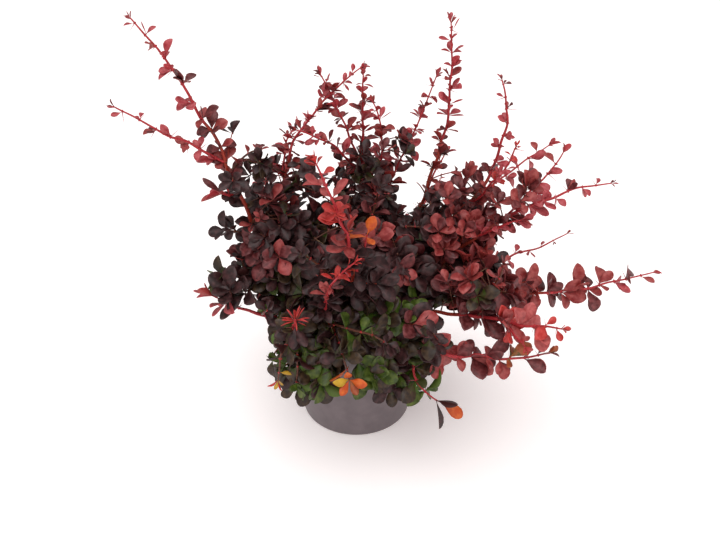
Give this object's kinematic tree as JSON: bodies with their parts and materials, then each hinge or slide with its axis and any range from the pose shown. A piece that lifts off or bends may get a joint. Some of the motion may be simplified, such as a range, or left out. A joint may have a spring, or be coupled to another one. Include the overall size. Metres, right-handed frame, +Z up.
{
  "type": "potted japanese barberry shrub",
  "caption": "Young multi-stemmed barberry shrub with dark red leaves and long arching shoots, standing in a round tapered nursery pot filled with compost.",
  "frame": {"origin": "middle of the pot's flat underside", "axes": "+Z up, -Y the side seen in the picture, +X to the right in it and along the widest spread of the shoots"},
  "size_m": [0.5327, 0.3203, 0.4383],
  "materials": {
    "pot": "taupe moulded plastic with a soft sheen",
    "compost": "moist peat and bark crumbs",
    "bark": "ridged young bark, red on new shoots",
    "leaves": "smooth matt leaves, dark purple-red, crimson at the tips"
  },
  "bodies": {
    "root": {"pot": "pot", "compost": "compost", "stem_foot": "bark", "bough_back_left": "bark", "bough_back_mid": "bark", "bough_back_right": "bark", "bough_centre_front": "bark", "bough_centre_mid": "bark", "bough_centre_tall": "bark", "bough_front_left": "bark", "bough_front_low": "bark", "bough_front_right": "bark", "bough_left_low": "bark", "bough_left_mid": "bark", "bough_left_tall": "bark", "bough_right_back": "bark", "bough_right_front": "bark", "bough_right_long": "bark", "bough_right_mid": "bark", "bough_right_tall": "bark", "bough_right_upper": "bark", "foliage_back_left": "leaves", "foliage_back_mid": "leaves", "foliage_back_right": "leaves", "foliage_centre_front": "leaves", "foliage_centre_mid": "leaves", "foliage_centre_tall": "leaves", "foliage_front_left": "leaves", "foliage_front_low": "leaves", "foliage_front_right": "leaves", "foliage_left_low": "leaves", "foliage_left_mid": "leaves", "foliage_left_tall": "leaves", "foliage_right_back": "leaves", "foliage_right_front": "leaves", "foliage_right_long": "leaves", "foliage_right_mid": "leaves", "foliage_right_tall": "leaves", "foliage_right_upper": "leaves"}
  },
  "joints": []
}
